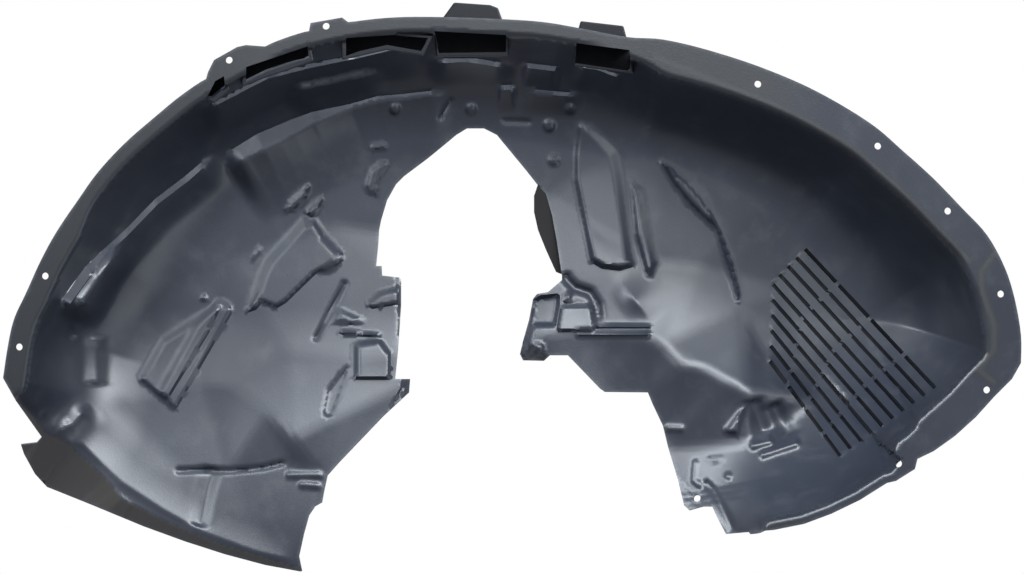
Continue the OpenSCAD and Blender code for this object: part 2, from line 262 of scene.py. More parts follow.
# Pods: (height at the middle, gain per mm down, easy flank, steep flank, way the easy flank faces, outline)
PODS = [
    # Pod over the damper, and the small pods above it
    (8, -0.03, 14, 4, UP_LEFT, [(244, 314), (250, 292), (256, 273), (263, 258), (275, 244), (303, 213),
                                (316, 218), (326, 233), (343, 251), (344, 261), (334, 266), (316, 274),
                                (286, 303), (276, 309), (262, 303), (256, 310)]),
    (7, 0, 10, 4, UP_LEFT, [(281, 213), (285, 199), (303, 184), (314, 180), (308, 198), (294, 212)]),
    (6, 0, 9, 4, UP_LEFT, [(301, 212), (311, 202), (325, 194), (323, 206), (313, 219)]),
    (3, 0, 6, 4, UP_LEFT, [(249, 261), (255, 247), (263, 243), (262, 252), (254, 262)]),
    (4, 0, 5, 3, UP_LEFT, [(315, 276), (322, 268), (338, 257), (343, 263), (334, 271)]),
    # Ribbed pocket low in the sill half
    (6, 0, 10, 4, UP_LEFT, [(159, 337), (136, 378), (155, 395), (175, 412), (205, 360), (233, 312),
                            (232, 304), (222, 297)]),
    (5, 0, 8, 3, UP_LEFT, [(192, 325), (155, 392), (168, 400), (209, 333), (224, 301), (215, 298)]),
    # Tall pod beside the cut-out, front half
    (9, 0.04, 12, 6, UP_RIGHT, [(577, 119), (593, 124), (607, 137), (619, 151), (624, 172), (630, 220),
                                (637, 266), (620, 271), (602, 269), (590, 262), (579, 211), (573, 180),
                                (573, 155)]),
    (7, 0.08, 12, 6, UP_RIGHT, [(626, 174), (644, 186), (650, 215), (660, 262), (652, 284), (644, 270),
                                (634, 235), (631, 200)]),
    # Leaf-shaped swelling
    (9, 0, 20, 7, UP_RIGHT, [(656, 159), (673, 161), (694, 177), (709, 192), (722, 222), (736, 258),
                             (744, 290), (739, 313), (723, 260), (714, 230), (689, 206), (672, 185)]),
    # Bracket at the cut-out, front half
    (9, 0.1, 4, 3, UP_RIGHT, [(560.5, 304), (593, 304), (596, 325), (595, 332), (556, 332), (557, 324)]),
    (6, 0, 3, 3, UP_RIGHT, [(563, 300), (565, 292), (571, 292), (574, 303), (563, 304)]),
    (5, 0, 4, 2.5, UP_RIGHT, [(594, 322.5), (652, 322.5), (651, 328.5), (595, 328.5)]),
    (5, 0, 4, 2.5, UP_RIGHT, [(576, 329.5), (652, 330), (652, 337.5), (574, 337)]),
    (-12, 0, 4, 4, UP_RIGHT, [(533, 300), (540, 295), (560, 293), (560, 305), (556, 327), (530, 327)]),
    (7, 0, 5, 4, UP_RIGHT, [(523, 341), (544, 341), (547, 352), (541, 361), (523, 361)]),
    # Spike, lens and hollow below the fold
    (7, 0.05, 9, 6, UP_LEFT, [(746, 392), (741, 404), (720, 430), (729, 436), (740, 437), (744, 420),
                              (748, 395)]),
    (3, 0, 7, 6, UP_LEFT, [(702, 455), (731, 456), (722, 463), (712, 465), (706, 461)]),
    # Stepped bracket at the cut-out, sill half
    (6, 0, 6, 3, UP_LEFT, [(364, 304), (378, 291), (402, 285), (402, 304), (372, 309)]),
    (5, 0, 6, 3, UP_LEFT, [(330, 324), (338, 306), (372, 322), (352, 325)]),
    (5, 0, 4, 3, UP_LEFT, [(330, 330), (346, 328), (388, 334), (386, 338), (345, 336)]),
    (8, 0, 8, 3, UP_LEFT, [(352, 341), (380, 337), (391, 352), (391, 380), (352, 380)]),
    # Leaf-shaped recess beside it
    (-5, 0, 5, 4, UP_LEFT, [(352, 359), (337, 374), (326, 389), (321.5, 411), (324, 419), (333, 417),
                            (339, 400), (348, 374)]),
    # Lugs by the small marks
    (4, 0, 5, 3, UP_LEFT, [(368, 144), (386, 140), (388, 149), (370, 152)]),
    (5, 0, 5, 3, UP_LEFT, [(364, 186), (369, 169), (380, 160), (390, 162), (382, 176), (378, 196),
                           (367, 194)]),
    # Recessed pad round the front corner's hole
    (-5, 0, 5, 5, UP_LEFT, [(881, 462), (886, 450), (899, 444), (911, 449), (918, 462), (915, 472),
                            (896, 483), (885, 485)]),
]
# Reach of the easing over the facets' creases
CREASE_EASE = 7.0
# Facets of the inner wall: points (across, down, height), then the creases between them as point numbers
FACETS = [
    # Sill half
    ([(150, 300, 0), (230, 262, 0), (330, 225, 0), (382, 232, 0), (402, 280, 10), (205, 382, 8),
      (292, 440, 22), (333, 419, 24), (352, 358, 24), (402, 352, 22), (180, 468, -5), (231, 471, -5),
      (287, 464, 2), (110, 400, 0), (321, 474, 6), (409, 385, 20), (92, 480, 0), (203, 572, -18),
      (303, 600, -18), (327, 476, 8), (286, 349, 20), (228, 383, 12), (270, 412, 18)],
     [(5, 21), (21, 22), (22, 6), (6, 7), (7, 8), (5, 10), (10, 11), (11, 12), (6, 12), (12, 14), (14, 7),
      (13, 5), (13, 10), (20, 6), (20, 1)]),
    # Front half
    ([(546, 196, 0), (575, 115, 0), (670, 130, 0), (760, 200, 0), (785, 290, 0), (592, 331, 28),
      (648, 338, 38), (663, 346, 42), (682, 366, 48), (703, 368, 48), (730, 383, 50), (747, 392, 48),
      (775, 362, 10), (540, 335, 32), (523, 345, 30), (560, 280, 18), (648, 392, 18), (668, 446, 2),
      (690, 500, -8), (745, 445, 4), (800, 480, 0), (820, 400, 0), (560, 360, 26), (602, 391, 16),
      (618, 276, 19), (655, 262, 12), (700, 268, 12), (742, 305, 14)],
     [(13, 5), (5, 6), (6, 7), (7, 8), (8, 9), (9, 10), (10, 11), (11, 21), (14, 13), (24, 25), (25, 26),
      (26, 27), (15, 24), (27, 11)]),
]
# Ramps: (tilt, fade below, top edge, bottom edge). The face comes forward from its top edge to its bottom.
RAMPS = [
    (0.5, 70, [(228, 152), (257, 134), (290, 120), (312, 112), (350, 104), (378, 96), (403, 94), (455, 88)],
     [(225, 173), (250, 157), (279, 143), (312, 125), (350, 109), (378, 101), (403, 98.5), (453, 93)]),
    (0.5, 30, [(51, 320), (62, 299), (85, 267), (104, 249), (125, 230), (155, 199), (184, 177), (216, 150)],
     [(60, 321), (70, 304), (91, 275), (108, 254), (128, 235), (158, 204), (187, 182), (218, 155)]),
    (0.5, 24, [(63, 321), (77, 296), (101, 262), (122, 236)], [(74, 322), (86, 303), (106, 268),
                                                               (125, 240)]),
    (0.5, 30, [(197, 109), (212, 103), (239, 89), (266, 75), (309, 64), (360, 53.5), (387, 47), (420, 45)],
     [(198, 113), (213, 107), (240, 93), (267, 79), (310, 68), (361, 57.5), (388, 51), (420, 49)]),
    (0.5, 28, [(280, 90), (298, 84), (331, 77), (350, 72), (387, 66)],
     [(281, 93), (299, 89), (332, 83), (351, 78), (387, 70)]),
    (0.5, 28, [(423, 57), (445, 58), (467, 57), (517, 65)], [(425, 61), (446, 63), (467, 62), (517, 70)]),
    (0.5, 28, [(519, 62), (562, 67)], [(519, 67), (562, 72)]),
    (0.5, 24, [(497, 85), (517, 85)], [(497, 90), (517, 90)]),
    (0.5, 24, [(519, 88), (564, 92), (582, 93)], [(519, 92), (564, 96), (582, 96)]),
    (0.5, 24, [(572, 62), (598, 66), (627, 77)], [(572, 66), (598, 70), (626, 81)]),
    (0.5, 30, [(599, 322), (652, 322)], [(599, 327), (652, 327)]),
]
# Ridges: (height, reach on the left of the line, reach on its right, line)
RIDGES = [
    # Roll of the sheet above the sill crease
    (3, 26, 12, [(60, 438), (82, 444), (122, 482), (163, 509), (204, 532), (255, 551), (300, 562)]),
    (8, 18, 30, [(48, 440), (66, 426), (72, 424), (90, 402)]),
    (10, 40, 20, [(616, 276), (653, 325)]),
]
# The grooves just inside the flange, along its upper side and down its front end, along which shade is painted
FLANGE_GROOVES = [
    [(655, 57), (708, 78), (773, 105), (816, 127), (857, 154), (897, 187), (941, 233), (969, 261)],
    [(994, 254), (981, 272), (982, 291), (994, 324), (994, 349), (979, 370), (994, 382)],
]
# Grooves (negative) and ribs: (height, half width, line)
LINES = [
    (-5, 4.0, FLANGE_GROOVES[0]),
    (-5, 3.0, FLANGE_GROOVES[1]),
    (-5, 2.5, [(346, 280), (336, 300), (314, 342)]),
    (-4, 2.5, [(174, 471), (205, 470), (230, 471), (262, 468), (287, 462)]),
    (-5, 8.0, [(213, 466), (206, 490), (198, 528)]),
    (-7, 4.0, [(564, 272), (567, 280), (575, 288), (590, 293), (597, 305), (599, 322)]),
    (4, 3.0, [(664, 428), (686, 429)]),
    (-4, 4.0, [(703, 480), (714, 492), (735, 533)]),
    (3, 3.0, [(696, 458), (694, 480), (703, 488)]),
    (6, 3.5, [(748, 447), (775, 440)]),
    (6, 3.5, [(758, 456), (801, 442)]),
    (-8, 9.0, [(752, 398), (765, 436)]),
    (-8, 8.0, [(772, 402), (790, 438)]),
    (-5, 2.5, [(452, 96), (444, 112), (440, 122)]),
    (4, 3.0, [(284, 475), (324, 475)]),
    (4, 3.0, [(297, 484), (322, 486)]),
    (-4, 3.0, [(68, 325), (74, 340)]),
    (4, 9.0, [(96, 335), (96, 386)]),
    (-4, 2.5, [(500, 121), (533, 122)]),
]
# Wear: width of the rubbed edge. Painted shade: how far it reaches in from the flange, its half width in a
# groove, and where across the sheet the flange stops being shaded
RUBBED_W = 2.5
SHADE_FADE = 3
SHADE_GROOVE_W = 4
SHADE_FLANGE_END = (760, 80)
# Round buttons: (height, radius, middle)
BUTTONS = [(5, 7, (395, 109)), (5, 7, (471, 109)), (4, 6, (570, 109)), (5, 8, (549, 125.6)),
           (4, 7, (554, 160)), (3, 4, (204, 298)), (3, 4, (728, 476)), (4, 12, (913, 419)),
           (2, 4, (43, 413))]
# How far the ends of ramps, ridges and lines take to grow to full height
RAMP_END = 24
RIDGE_END = 40
LINE_END = 5
# Share of a flank's width over which each of its ends is eased
FLANK_EASE = 0.2
# Share of a button's radius over which its edge rises
BUTTON_EASE = 0.6


def eased_ends(along_mm, run, reach):
    """Ease from 0 at both ends of a line of a given run to 1 at a reach from them."""
    return smooth(along_mm / reach) * smooth((run - along_mm) / reach)


def flank_rise(x):
    """Rise of a flank from 0 to 1 across its width: a parabola at each end, and an even slope between them."""
    c = np.clip(x, 0.0, 1.0)
    r = FLANK_EASE
    even = np.where(c < r, c * c / (2 * r), np.where(c > 1 - r, 1 - r - (1 - c) ** 2 / (2 * r), c - r / 2))
    return even / (1 - r)


def pod_forms(points):
    """Each pod's height at its middle and its gain down the sheet, times the rise of its flank with the
    distance in from its outline. The flank is easy on the side that it names and steep on the other."""
    total = np.zeros(len(points))
    for height, gain, easy, steep, lit, outline in PODS:
        inside = within(points, outline)
        if inside.any():
            d, _, _, foot, _ = near_path(points[inside], outline, closed=True)
            outward = (foot - points[inside]) / np.maximum(d, 1e-6)[:, None]
            flank = steep + (easy - steep) * smooth(0.5 + 0.9 * (outward @ np.array(lit)))
            middle = np.mean(outline, axis=0)
            total[inside] += (height + gain * (points[inside][:, 1] - middle[1])) * flank_rise(d / flank)
    return total


def facet_forms(points):
    """The facets with their creases eased, as the mean of their heights on a small ring."""
    turns = [math.pi * k / 3 for k in range(6)]
    ring = [(0, 0)] + [(CREASE_EASE * math.cos(turn), CREASE_EASE * math.sin(turn)) for turn in turns]
    return sum(facet_heights(points + shift) for shift in ring) / len(ring)


def facet_heights(points):
    """Height of the flat facets between points of given heights, each facet by its three corners' shares."""
    total = np.zeros(len(points))
    for corners, creases in FACETS:
        flat = [Vector(c[:2]) for c in corners]
        verts, _, faces, origins, _, _ = delaunay_2d_cdt(flat, creases, [], 0, 1e-7)
        heights = [corners[o[0]][2] for o in origins]
        for face in faces:
            a, b, c = (np.array(verts[i]) for i in face)
            area = (b[0] - a[0]) * (c[1] - a[1]) - (b[1] - a[1]) * (c[0] - a[0])
            rel = points - a
            v = (rel[:, 0] * (c[1] - a[1]) - rel[:, 1] * (c[0] - a[0])) / area
            w = ((b[0] - a[0]) * rel[:, 1] - (b[1] - a[1]) * rel[:, 0]) / area
            held = (v > -1e-6) & (w > -1e-6) & (v + w < 1 + 1e-6)
            ha, hb, hc = (heights[i] for i in face)
            total[held] = (ha + v * (hb - ha) + w * (hc - ha))[held]
    return total


def ramp_rise(points, top, tilt):
    """How far a ramp's face stands out, so that it comes forward by its tilt from its top edge on."""
    to_top, _, _, foot, _ = near_path(points, top)
    return smooth_depth(points)[0] - smooth_depth(foot)[0] + tilt * to_top


def ramp_forms(points):
    """The rise of each ramp's face between its two edges, and its fall to nothing below its bottom edge."""
    total = np.zeros(len(points))
    for tilt, fade, top, bottom in RAMPS:
        face = within(points, list(top) + list(reversed(bottom)))
        to_bottom, side, along_mm, foot, run = near_path(points, bottom)
        ends = eased_ends(along_mm, run, min(RAMP_END, run / 4))
        if face.any():
            total[face] += ramp_rise(points[face], top, tilt) * ends[face]
        below = ((side < 0) | (to_bottom < 0.05)) & ~face & (to_bottom < fade)
        if below.any():
            rise = ramp_rise(foot[below], top, tilt) * ends[below]
            total[below] += rise * (1 - smooth(to_bottom[below] / fade))
    return total


def bar_forms(points):
    """Each bar of the vent comes forward by its tilt from the slot above it to the slot below it."""
    total = np.zeros(len(points))
    lines = slot_lines()
    inside = within(points, [lines[0][0], lines[0][1], lines[-1][1], lines[-1][0], lines[4][0]])
    p = points[inside]
    below_slot = np.full(len(p), 1e9)
    for start, finish in lines:
        run = math.dist(start, finish)
        down = np.array([start[1] - finish[1], finish[0] - start[0]]) / run
        d = (p - np.array(start)) @ down
        below_slot = np.where((d > 0) & (d < below_slot), d, below_slot)
    total[inside] = BAR_TILT * (np.clip(below_slot, 0, SLOT_PITCH) - BAR_LEVEL)
    return total


def ridge_forms(points):
    """Each ridge's height, times the square of how near a point is to its line within the reach there."""
    total = np.zeros(len(points))
    for height, left, right, line in RIDGES:
        d, side, along_mm, _, run = near_path(points, line)
        fall = np.clip(1 - d / np.where(side > 0, left, right), 0, 1)
        total += height * eased_ends(along_mm, run, min(left, RIDGE_END)) * fall * fall
    return total


def line_forms(points):
    """Grooves and ribs with a bell-shaped section along their lines, and round buttons with eased edges."""
    total = np.zeros(len(points))
    for height, half, line in LINES:
        d, _, along_mm, _, run = near_path(points, line)
        total += height * eased_ends(along_mm, run, LINE_END) * np.exp(-(d / half) ** 2)
    for height, r, middle in BUTTONS:
        d = np.hypot(points[:, 0] - middle[0], points[:, 1] - middle[1])
        total += height * smooth((r - d) / (BUTTON_EASE * r))
    return total


def pressed(points):
    """How far the sheet stands out towards the wheel at each drawn point."""
    return (facet_forms(points) + pod_forms(points) + ramp_forms(points) + ridge_forms(points)
            + line_forms(points) + bar_forms(points))


def place(points, depth):
    """Drawn points at a depth, in the row's frame, in metres."""
    spread = 1 + depth / EYE
    x = (points[:, 0] - SHEET[0] / 2) * spread - DATUM[0]
    z = (SHEET[1] / 2 - points[:, 1]) * spread - DATUM[1]
    return np.column_stack((x, depth, z)) / 1000


def spaced(path, pitch, closed=False):
    """Points along a path at about the given pitch, keeping its corners."""
    ends = list(path) + ([path[0]] if closed else [])
    out = []
    for a, b in zip(ends[:-1], ends[1:]):
        steps = max(1, round(math.dist(a, b) / pitch))
        out += [(a[0] + (b[0] - a[0]) * i / steps, a[1] + (b[1] - a[1]) * i / steps) for i in range(steps)]
    return out if closed else out + [ends[-1]]


def circle(middle, r, count=24):
    """Points evenly round a circle."""
    turns = [2 * math.pi * i / count for i in range(count)]
    return [(middle[0] + r * math.cos(turn), middle[1] + r * math.sin(turn)) for turn in turns]


# How the back lies off the face: step for its slope, and how much it leans towards straight back
NORMAL_STEP = 3.0
STRAIGHT_BACK_SHARE = 0.35
# Longest steps along the border and the mouths, and along the slots and the forms' edges
BORDER_PITCH = 3.0
FORM_PITCH = 2.5
# Faces that meet at more than this are shaded with a sharp edge
SHARP_DEGREES = 65
# Sizes of the triangles of the face towards the wheel and of the back
FRONT_PITCH = 2.4
BACK_PITCH = 5.0

# The vent. A bar lies level with the sheet at BAR_LEVEL below the slot above it.
SLOT_COUNT = 10
SLOT_W = 4.0
SLOT_PITCH = 13
BAR_TILT = 0.45
BAR_LEVEL = 4
RIB_W = 4.0
VENT_STARTS = [(805, 249), (773, 281), (770, 361)]
VENT_ENDS = [(935, 388), (840, 456)]
VENT_BEND = 0.42
VENT_RIBS = (0.25, 0.5, 0.76)


def mix(a, b, f):
    """The point a share of the way from one point to another."""
    return (a[0] + (b[0] - a[0]) * f, a[1] + (b[1] - a[1]) * f)


def slot_lines():
    """Where each slot of the vent starts and ends."""
    lines = []
    for k in range(SLOT_COUNT):
        share = k / (SLOT_COUNT - 1)
        if share < VENT_BEND:
            start = mix(VENT_STARTS[0], VENT_STARTS[1], share / VENT_BEND)
        else:
            start = mix(VENT_STARTS[1], VENT_STARTS[2], (share - VENT_BEND) / (1 - VENT_BEND))
        lines.append((start, mix(VENT_ENDS[0], VENT_ENDS[1], share)))
    return lines


def vent_slots():
    """Outlines of the vent's slots, cut short at the ribs that cross them."""
    loops = []
    for start, finish in slot_lines():
        run = math.dist(start, finish)
        side = ((finish[1] - start[1]) / run * SLOT_W / 2, (start[0] - finish[0]) / run * SLOT_W / 2)
        stops = (0,) + VENT_RIBS + (1,)
        for q in range(len(stops) - 1):
            near = mix(start, finish, stops[q] + (RIB_W / 2 / run if q else 0))
            far = mix(start, finish, stops[q + 1] - (RIB_W / 2 / run if q < len(stops) - 2 else 0))
            loop = [(near[0] + side[0], near[1] + side[1]), (far[0] + side[0], far[1] + side[1]),
                    (far[0] - side[0], far[1] - side[1]), (near[0] - side[0], near[1] - side[1])]
            loops.append(spaced(loop, FORM_PITCH, closed=True))
    return loops


# The clip pockets and the windows under the rim: mouths in the sheet, outlines of the boxes behind them, and
# the depth of each box's front and back
MOUTHS = [
    [(434, 31), (506, 35), (506, 52), (439, 53)],
    [(576, 43), (630, 50), (630, 71), (575, 63)],
    [(246, 67), (308, 46), (309, 58), (287, 65), (266, 72), (246, 82)],
    [(346, 38), (392, 35), (429, 38), (421, 51), (387, 45), (360, 51), (346, 56)],
    [(207, 97), (215, 81), (224, 76), (225, 87), (213, 98)],
]
POCKET_BOXES = [
    [(454, 2.5), (490, 5), (498, 8), (508, 35), (509, 56), (436, 57), (434, 30)],
    [(580.5, 21), (623.5, 26), (629, 47), (634, 74), (574, 66), (575, 41)],
    [(241, 64), (310, 40), (314, 61), (289, 70), (267, 77), (242, 87)],
    [(341, 36), (392, 30), (434, 35), (424, 56), (387, 50), (361, 56), (342, 60)],
    [(202, 98), (212, 78), (228, 71), (230, 90), (215, 103)],
]
POCKET_DEPTHS = [(30.0, 112.0), (30.0, 112.0), (8.0, 96.0), (8.0, 96.0), (8.0, 96.0)]
# How far in from its outline a pocket's hollow lies, how far forward its mouth is cut, and its eased edges
POCKET_INSET = 3.6
MOUTH_FRONT = 4.0
POCKET_EASE_M = 0.0015


def triangulate(loops, lines, pitch):
    """Triangles over the first loop, less the other loops, with the lines as edges.

    Points in rows of near-equilateral triangles fill the area, apart from those close to a loop or a line.
    Returns the points, the triangles, and for each point of a loop its place among the points.
    """
    points = []
    edges = []
    for loop in loops:
        first = len(points)
        points += loop
        edges += [(first + i, first + (i + 1) % len(loop)) for i in range(len(loop))]
    loop_count = len(points)
    for line in lines:
        first = len(points)
        points += line
        edges += [(first + i, first + i + 1) for i in range(len(line) - 1)]
    rows = int(SHEET[1] / (pitch * 0.866)) + 1
    row, across = np.meshgrid(np.arange(rows), np.arange(0, SHEET[0], pitch), indexing="ij")
    grid = np.column_stack(((across + (row % 2) * pitch / 2).ravel(), (row * pitch * 0.866).ravel()))
    grid = grid[within(grid, loops[0])]
    for loop in loops[1:]:
        grid = grid[~within(grid, loop)]
    taken = np.array(points)
    cell = pitch * 0.55
    used = set()
    for dx in (-1, 0, 1):
        for dy in (-1, 0, 1):
            used |= set(map(tuple, (np.floor(taken / cell) + (dx, dy)).astype(int)))
    keep = [tuple(c) not in used for c in np.floor(grid / cell).astype(int)]
    grid = grid[np.array(keep)]
    vectors = [Vector(p) for p in points] + [Vector(p) for p in grid]
    verts, _, faces, origins, _, _ = delaunay_2d_cdt(vectors, edges, [], 0, 1e-7)
    verts = np.array([(v[0], v[1]) for v in verts])
    tris = np.array(faces)
    middles = verts[tris].mean(axis=1)
    inside = within(middles, loops[0])
    for loop in loops[1:]:
        box_low = np.min(loop, axis=0)
        box_high = np.max(loop, axis=0)
        near = np.all((middles > box_low) & (middles < box_high), axis=1)
        inside[near] &= ~within(middles[near], loop)
    tris = tris[inside]
    loop_at = {}
    for index, sources in enumerate(origins):
        for source in sources:
            if source < loop_count:
                loop_at[source] = index
    return verts, tris, loop_at


def mesh_object(name, verts, faces):
    """An object at the origin with the given mesh."""
    mesh = bpy.data.meshes.new(name)
    mesh.from_pydata([tuple(v) for v in verts], [], [tuple(f) for f in faces])
    mesh.update()
    obj = bpy.data.objects.new(name, mesh)
    bpy.context.scene.collection.objects.link(obj)
    return obj


def back_normals(points):
    """The way in which the back lies off the face at each drawn point: square to the plain arch, leaned
    towards straight back, and straight back on the flange."""
    right = (NORMAL_STEP, 0)
    down = (0, NORMAL_STEP)
    low_x, high_x, low_y, high_y = (place(p, smooth_depth(p)[0])
                                    for p in (points - right, points + right, points - down, points + down))
    normal = np.cross(low_y - high_y, high_x - low_x)
    normal /= np.linalg.norm(normal, axis=1)[:, None]
    normal += (0, STRAIGHT_BACK_SHARE, 0)
    normal /= np.linalg.norm(normal, axis=1)[:, None]
    on_arch = smooth(smooth_depth(points)[1] / FORM_FADE)[:, None]
    normal = on_arch * normal + (1 - on_arch) * np.array((0.0, 1.0, 0.0))
    return normal / np.linalg.norm(normal, axis=1)[:, None]


def sharpen_border(obj, pairs):
    """Sharp edges where two faces meet steeply, and along every loop of the face towards the wheel."""
    mesh = obj.data
    mesh.set_sharp_from_angle(angle=math.radians(SHARP_DEGREES))
    ends = np.empty(2 * len(mesh.edges), np.int64)
    mesh.edges.foreach_get("vertices", ends)
    ends = np.sort(ends.reshape(-1, 2), axis=1)
    wanted = np.sort(np.array(pairs), axis=1)
    count = len(mesh.vertices)
    border = np.isin(ends[:, 0] * count + ends[:, 1], wanted[:, 0] * count + wanted[:, 1])
    sharp = mesh.attributes.get("sharp_edge") or mesh.attributes.new("sharp_edge", "BOOLEAN", "EDGE")
    values = np.empty(len(mesh.edges), bool)
    sharp.data.foreach_get("value", values)
    sharp.data.foreach_set("value", values | border)


def add_attribute(obj, name, values):
    """A value at each vertex, for the material."""
    obj.data.attributes.new(name, "FLOAT", "POINT").data.foreach_set("value", values.astype(np.float32))


def rubbed_share(points):
    """How rubbed the sheet is: all of it at the border, and nothing RUBBED_W in from there."""
    return np.clip(1 - near_path(points, BORDER, closed=True)[0] / RUBBED_W, 0, 1)


def painted_reflection_share(points):
    """Where a warm reflection is painted: 1 on the end flange, 0 elsewhere."""
    return np.where(past_crease(points)[0], 1.0, 0.0)


def painted_shade_share(points):
    """Where shade is painted, darker and rougher: the flange, apart from its front end, and the groove inside
    it, with a bell-shaped section."""
    # Painted shade: the flange over the top and the sill side, and the grooves inside it, are darkened
    share = (1 - smooth(smooth_depth(points)[1] / SHADE_FADE)) * (1 - onward(points[:, 0], SHADE_FLANGE_END))
    for line in FLANGE_GROOVES:
        share = np.maximum(share, 2 * np.exp(-(near_path(points, line)[0] / SHADE_GROOVE_W) ** 2))
    return share


def return_lip():
    """A thin strip behind the sheet, with the outline seen past the edge of the cut-out."""
    obj = solid_object("return_lip", *drafted_box(RETURN_LIP, *RETURN_LIP_DEPTH))
    # The lip carries the painted warm reflection
    add_attribute(obj, "painted_reflection", np.ones(len(obj.data.vertices)))
    return obj


def liner_sheet():
    """The sheet: the face towards the wheel with all its forms, the back a wall's thickness behind it, and
    the cut edges between the two along every loop."""
    loops = [spaced(BORDER, BORDER_PITCH, closed=True)]
    loops += [circle(p, HOLE_R) for p in RIM_HOLES + SEAT_HOLES + TAB_HOLES]
    loops += vent_slots()
    loops += [spaced(mouth, BORDER_PITCH, closed=True) for mouth in MOUTHS]
    lines = [spaced(pod[-1], FORM_PITCH, closed=True) for pod in PODS]
    lines += [spaced(edge, FORM_PITCH) for ramp in RAMPS for edge in ramp[2:]]
    front_v, front_t, front_at = triangulate(loops, lines, FRONT_PITCH)
    back_v, back_t, back_at = triangulate(loops, [], BACK_PITCH)
    front = place(front_v, full_depth(front_v))
    back = place(back_v, full_depth(back_v)) + WALL / 1000 * back_normals(back_v)
    shift = len(front)
    walls = []
    borders = []
    first = 0
    for loop in loops:
        count = len(loop)
        for i in range(count):
            a = first + i
            b = first + (i + 1) % count
            borders.append((front_at[a], front_at[b]))
            walls.append((front_at[a], front_at[b], shift + back_at[b]))
            walls.append((front_at[a], shift + back_at[b], shift + back_at[a]))
        first += count
    faces = np.vstack((front_t, back_t[:, ::-1] + shift, np.array(walls)))
    obj = mesh_object("liner_sheet", np.vstack((front, back)), faces)
    drawn = np.vstack((front_v, back_v))
    sharpen_border(obj, borders)
    add_attribute(obj, "rubbed", rubbed_share(drawn))
    # Where a warm reflection is painted, on the end flange
    add_attribute(obj, "painted_reflection", painted_reflection_share(drawn))
    # Where shade is painted on the flange and its grooves
    add_attribute(obj, "painted_shade", painted_shade_share(drawn))
    return obj


def drafted_box(outline, from_depth, to_depth):
    """Vertices and faces of a closed solid between two depths with one outline as seen from the wheel."""
    points = np.array(outline, float)
    count = len(points)
    verts = np.vstack((place(points, np.full(count, from_depth)), place(points, np.full(count, to_depth))))
    faces = [tuple(range(count)), tuple(range(2 * count - 1, count - 1, -1))]
    faces += [(i, count + i, count + (i + 1) % count, (i + 1) % count) for i in range(count)]
    return verts, faces


def solid_object(name, verts, faces):
    """An object whose closed mesh has its faces turned outwards."""
    obj = mesh_object(name, verts, faces)
    bm = bmesh.new()
    bm.from_mesh(obj.data)
    bmesh.ops.recalc_face_normals(bm, faces=bm.faces)
    bm.to_mesh(obj.data)
    bm.free()
    return obj


def cut_away(obj, cutter):
    """Cut one closed mesh out of another, and drop the cutter."""
    cut = obj.modifiers.new("cut", "BOOLEAN")
    cut.operation = "DIFFERENCE"
    cut.solver = "EXACT"
    cut.object = cutter
    done = bpy.data.meshes.new_from_object(obj.evaluated_get(bpy.context.evaluated_depsgraph_get()))
    obj.modifiers.remove(cut)
    obj.data = done
    bpy.data.objects.remove(cutter)


def clip_pocket(index):
    """A box behind the rim that is open to the wheel through its mouth."""
    box = POCKET_BOXES[index]
    front, back = POCKET_DEPTHS[index]
    middle = np.mean(box, axis=0)
    inner = [tuple(np.array(p) + POCKET_INSET * (middle - p) / np.linalg.norm(middle - p)) for p in box]
    obj = solid_object("clip_pocket_%d" % (index + 1), *drafted_box(box, front, back))
    bevel = obj.modifiers.new("eased edges", "BEVEL")
    bevel.width = POCKET_EASE_M
    bevel.segments = 2
    obj.data = bpy.data.meshes.new_from_object(obj.evaluated_get(bpy.context.evaluated_depsgraph_get()))
    obj.modifiers.clear()
    cut_away(obj, solid_object("hollow", *drafted_box(inner, front + WALL, back - WALL)))
    cut_away(obj, solid_object("mouth", *drafted_box(MOUTHS[index], MOUTH_FRONT, back - WALL)))
    return obj


# Section of a fin: (up from the slot's middle, behind the sheet), and the steps along it
FIN_SECTION = [(SLOT_W * 0.62, 1.2), (-SLOT_W * 0.95, 8.5), (-SLOT_W * 0.95, 10.0), (SLOT_W * 0.62, 2.7)]
FIN_STEPS = 24


def louvre_fins():
    """A fin behind each slot, from the bar above it down and back, that keeps stones and water out: its
    section is carried along the slot."""
    verts = []
    faces = []
    n = FIN_STEPS + 1
    share = np.arange(n)[:, None] / FIN_STEPS
    step = np.arange(FIN_STEPS)
    for start, finish in slot_lines():
        base = len(verts)
        up = np.array((finish[1] - start[1], start[0] - finish[0])) / math.dist(start, finish)
        middle_line = np.array(start) + (np.array(finish) - np.array(start)) * share
        for shift, back in FIN_SECTION:
            line = middle_line + up * shift
            verts += place(line, full_depth(line) + back).tolist()
        for k in range(4):
            a = base + k * n + step
            b = base + (k + 1) % 4 * n + step
            faces += np.column_stack((a, a + 1, b + 1, b)).tolist()
        faces += [[base + k * n for k in range(4)], [base + k * n + FIN_STEPS for k in (3, 2, 1, 0)]]
    return solid_object("louvre_fins", verts, faces)


# Colours of the moulding, of what lies on it, and of the painted shade and painted warm reflection
BLACK_DEEP = (0.009, 0.011, 0.017)
BLACK_GREYED = (0.014, 0.017, 0.025)
# Painted warm reflection on the end flange and the return lip
PAINTED_REFLECTION_BROWN = (0.032, 0.029, 0.026)
DUST_GREY = (0.045, 0.046, 0.049)
# Painted shade that darkens the flange and the grooves inside it
PAINTED_SHADE_BLACK = (0.005, 0.006, 0.008)
RUBBED_GREY = (0.045, 0.048, 0.056)
# The sheen of the moulding, as Blender's specular level
SHEEN = 0.65
# The spark grain: pits for each metre, the strength and the depth in metres of the bump
PITS = 620
GRAIN_STRENGTH = 0.35
GRAIN_DEPTH_M = 0.0004


